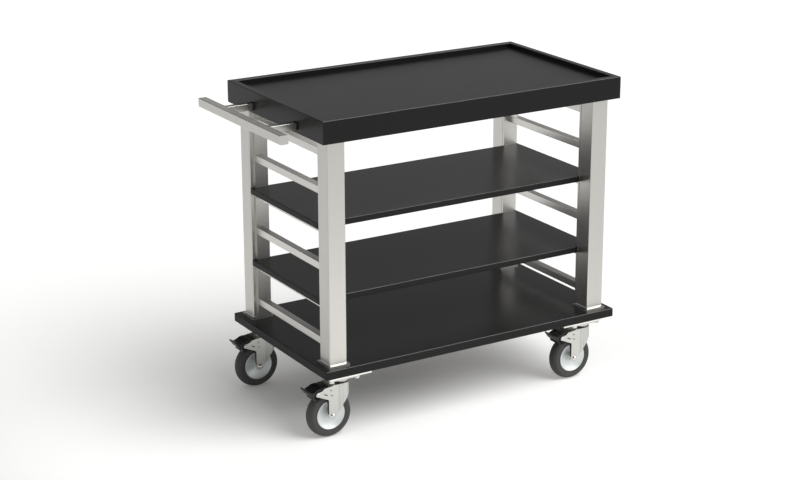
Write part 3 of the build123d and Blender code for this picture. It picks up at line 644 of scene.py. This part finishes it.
# Painted shadow: black rings where each arm meets the board.
put_piece("arm_painted_shadow_rings", painted_shadow_rings, pedal_plastic, "frame")

# %% [markdown]
# ## Steel sheet under the tray
#
# In the photograph the top rung is as bright on its upper face as the others, although the dark tray is right
# above it. So what it mirrors is not the board but steel: a sheet under the tray, between the posts. It is
# three thin plates, one between the ladders and one along each side.

# %% Tray underside sheet
sheet_thickness, sheet_corner, sheet_gap = 0.0008, 0.002, 0.0001
post_side, clearance, overhang = 0.050, 0.0005, 0.0015
panel_low = corners_of("tray_panel")[0]
plate_low, plate_high = corners_of("post_top_plates")
between_posts = plate_high[1] - post_side - clearance
inside_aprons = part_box("tray_rear_apron")[0][1] - clearance
middle_x = (plate_low[0] + plate_high[0]) / 2
plate_half = plate_high[0] - middle_x
sheet_edges = np.array([(0.0, 0.0), (-sheet_thickness, 0.0)])


def sheet_plate(middle_y, half_x, half_y):
    """A flat plate just below the panel: a rounded rectangle drawn at two heights."""
    loop, outward = rounded_loop(half_x, half_y, sheet_corner)
    origin = np.array([middle_x, middle_y, panel_low[2] - sheet_gap])
    return ring_round(origin, X, Y, Z, loop, outward, sheet_edges)


strip_half = (inside_aprons - between_posts) / 2 - 2 * sheet_gap
strip_y = between_posts + strip_half + 3 * sheet_gap
strip_length = plate_half - post_side - overhang
sheets = [sheet_plate(0.0, plate_half + overhang, between_posts),
          sheet_plate(-strip_y, strip_length, strip_half),
          sheet_plate(strip_y, strip_length, strip_half)]
put_piece("tray_underside_sheet", sheets, sheet_steel, "frame", ring=False)

# %% [markdown]
# ## Weld beads
#
# Where a tube is welded to a plate, the weld is ground to a small hollow fillet. It catches the light as a
# thin line round the joint. Its profile is a quarter circle that touches both faces: with leg length a,
# the height is a (1 - cos t) and the distance from the tube is a (1 - sin t).

# %% Beads at the post feet and at the handle arms
post_corner, post_leg, arm_leg = 0.0025, 0.0024, 0.0019


def bead_profile(leg):
    """A hollow fillet with two equal legs, and its hidden corner against the tube, a hair off both."""
    t = np.radians(np.linspace(0, 90, 7))
    hollow = leg * np.stack([1 - np.cos(t), 1 - np.sin(t)], axis=1)
    return hair + np.concatenate([[(0.0, 0.0)], hollow])


def post_bead(corner):
    """The bead round the foot of one post."""
    low, high = corners_of(f"{corner}_post")
    middle, half = (low + high) / 2, (high - low) / 2
    loop, outward = rounded_loop(half[0], half[1], post_corner)
    foot = np.array([middle[0], middle[1], low[2]])
    return ring_round(foot, X, Y, Z, loop, outward, bead_profile(post_leg))


post_beads = [post_bead(corner) for corner in corner_names]
put_piece("post_foot_beads", post_beads, plate_steel, "frame")

bar_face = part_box("handle_bar")[1][0]
arm_beads = [ring_round(np.array([bar_face, arm_y, arm_middle]), Y, Z, X, arm_loop, arm_outward,
                        bead_profile(arm_leg))
             for arm_y in arm_places]
put_piece("arm_beads", arm_beads, arm_steel, "frame")

# %% [markdown]
# ## Guard strips on the fork legs
#
# The front edges of each fork leg are turned in, and the gap behind them, between leg and wheel, lies in
# shade. That shade is painted as a black strip along each edge. The strip is wide at the top, where the legs
# meet the fork's body, and narrows towards the axle. It is a rounded rectangle carried up the leg, whose
# width and thickness are functions of the height.

# %% Leg shade strips, painted shade
shade_strip_width, shade_strip_widening, shade_strip_half_depth = 0.0050, 0.0024, 0.00045
shade_strip_foot, shade_strip_rise = 0.0052, 0.0388
leg_front, leg_outside, shade_strip_standoff = -0.0107, 0.0248, 0.00003


def leg_shade_strip(axle, side):
    """A black strip of painted shade up one leg. At height t from 0 to 1 the width runs from 5.0 to 7.4 mm,
    and both sides of its section shrink to nothing at the ends as sqrt(1 - (2 t - 1)^12)."""
    t = 0.5 - 0.5 * np.cos(np.linspace(0.02, np.pi - 0.02, 24))
    half_width = (shade_strip_width + shade_strip_widening * t)[:, None] / 2
    taper = np.sqrt(1 - np.abs(2 * t - 1) ** 12)[:, None]
    section = rounded_loop(1.0, 1.0, 0.45, 4)[0][None]
    depth = shade_strip_half_depth * (section[..., 0] * taper - 1) - shade_strip_standoff
    across = side * (leg_outside - half_width + section[..., 1] * taper * half_width)
    height = (shade_strip_foot + shade_strip_rise * t)[:, None] + 0 * across
    return axle + np.stack([leg_front + depth, across, height], axis=-1)


for corner in corner_names:
    axle = joint_places[f"{corner}_wheel_roll"]
    shade_strips = [leg_shade_strip(axle, side) for side in (-1.0, 1.0)]
    # Painted shade: black strips along the shaded front edges of the legs.
    put_piece(f"{corner}_leg_shade_strips", shade_strips, pedal_plastic, f"{corner}_swivel",
              ring=False)

# %% [markdown]
# ## Dished wheel centres
#
# The silver wheel centres are dished: each side falls away from the tyre towards the hub like a shallow bowl.
# That is why the upper half looks grey and the lower half white under light from above. The CAD model has
# a plain centre there, so this one stands for it. A lathe would turn it, and so do we: half a section is
# mirrored to the other side of the wheel and carried round the axle.

# %% Wheel centres
bore_radius, hub_radius, dish_radius, rim_radius = 0.0052, 0.0090, 0.0377, 0.0400
hub_face, rim_face, dish_face, dish_depth = 0.0215, 0.0154, 0.0150, 0.010
hub_round, hub_step, rim_round, rim_step = 0.0008, 0.001, 0.0004, 0.0003
spoke_count = 96


def wheel_section():
    """Half a section from the bore to the tyre and its mirror image, as (along the axle, distance from it).
    Between hub and rim the face stands at dish_face - dish_depth * (1 - (r / dish_radius)^2)."""
    r = np.linspace(hub_radius + hub_step, dish_radius, 16)
    dish = np.stack([dish_face - dish_depth * (1 - (r / dish_radius) ** 2), r], axis=1)
    hub = [(hub_face, bore_radius), (hub_face, hub_radius - hub_round), (hub_face - hub_round, hub_radius)]
    rim = [(rim_face, dish_radius + rim_step), (rim_face, rim_radius - rim_round),
           (rim_face - rim_round, rim_radius)]
    half = np.concatenate([hub, dish, rim])
    return np.concatenate([half, half[::-1] * (-1, 1)])


turn = np.linspace(0, 2 * np.pi, spoke_count, endpoint=False)
spokes = np.stack([np.cos(turn), np.sin(turn)], axis=1)
for corner in corner_names:
    axle = joint_places[f"{corner}_wheel_roll"]
    centre = ring_round(axle, X, Z, Y, 0 * spokes, spokes, wheel_section())
    piece = put_piece(f"{corner}_wheel_centre", [centre], rim_plastic, f"{corner}_wheel")
    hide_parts(f"{corner}_castor_rim")

# %% [markdown]
# ## Painted shade in the hollows of the fork cheeks
#
# Each cheek carries two tubular rivets and a pressed bead. What shows of them is the shade in their hollows:
# the open end of each rivet and the trough inside the bead. A hollow that small shows only as a dark spot,
# so its shade is painted as a thin dark plate. It is a flat plate with a round outline, a tenth of a
# millimetre thick.

# %% Cheek hollows, painted shade
painted_shade_plate_edges = np.array([(0.0, 0.0), (0.0001, 0.0)])
rivet_places, rivet_half, rivet_face = [(-0.0041, 0.0706), (-0.0023, 0.0568)], (0.0019, 0.0019), 0.02611
trough_place, trough_half, trough_face = (-0.0198, 0.0618), (0.0056, 0.0016), 0.02501
trough_tilt = math.radians(-24)


def painted_shade_plate(axle, side, place, half, face, tilt=0.0):
    """A dark plate of painted shade on one cheek, at place = (along, up) from the axle: a rounded rectangle,
    tilted in the cheek's plane, drawn at two heights and closed at both."""
    loop, outward = rounded_loop(*half, half[1])
    u = math.cos(tilt) * X + math.sin(tilt) * Z
    v = math.cos(tilt) * Z - math.sin(tilt) * X
    origin = axle + place[0] * X + side * face * Y + place[1] * Z
    return ring_round(origin, u, v, side * Y, loop, outward, painted_shade_plate_edges)


def cheek_painted_shade(axle, side):
    """Painted shade plates for the two rivets and the trough of one cheek."""
    rivets = [painted_shade_plate(axle, side, place, rivet_half, rivet_face) for place in rivet_places]
    return rivets + [painted_shade_plate(axle, side, trough_place, trough_half, trough_face, trough_tilt)]


for corner in corner_names:
    axle = joint_places[f"{corner}_wheel_roll"]
    plates = cheek_painted_shade(axle, -1.0) + cheek_painted_shade(axle, 1.0)
    put_piece(f"{corner}_cheek_painted_shade", plates, painted_shade_zinc, f"{corner}_swivel", ring=False)
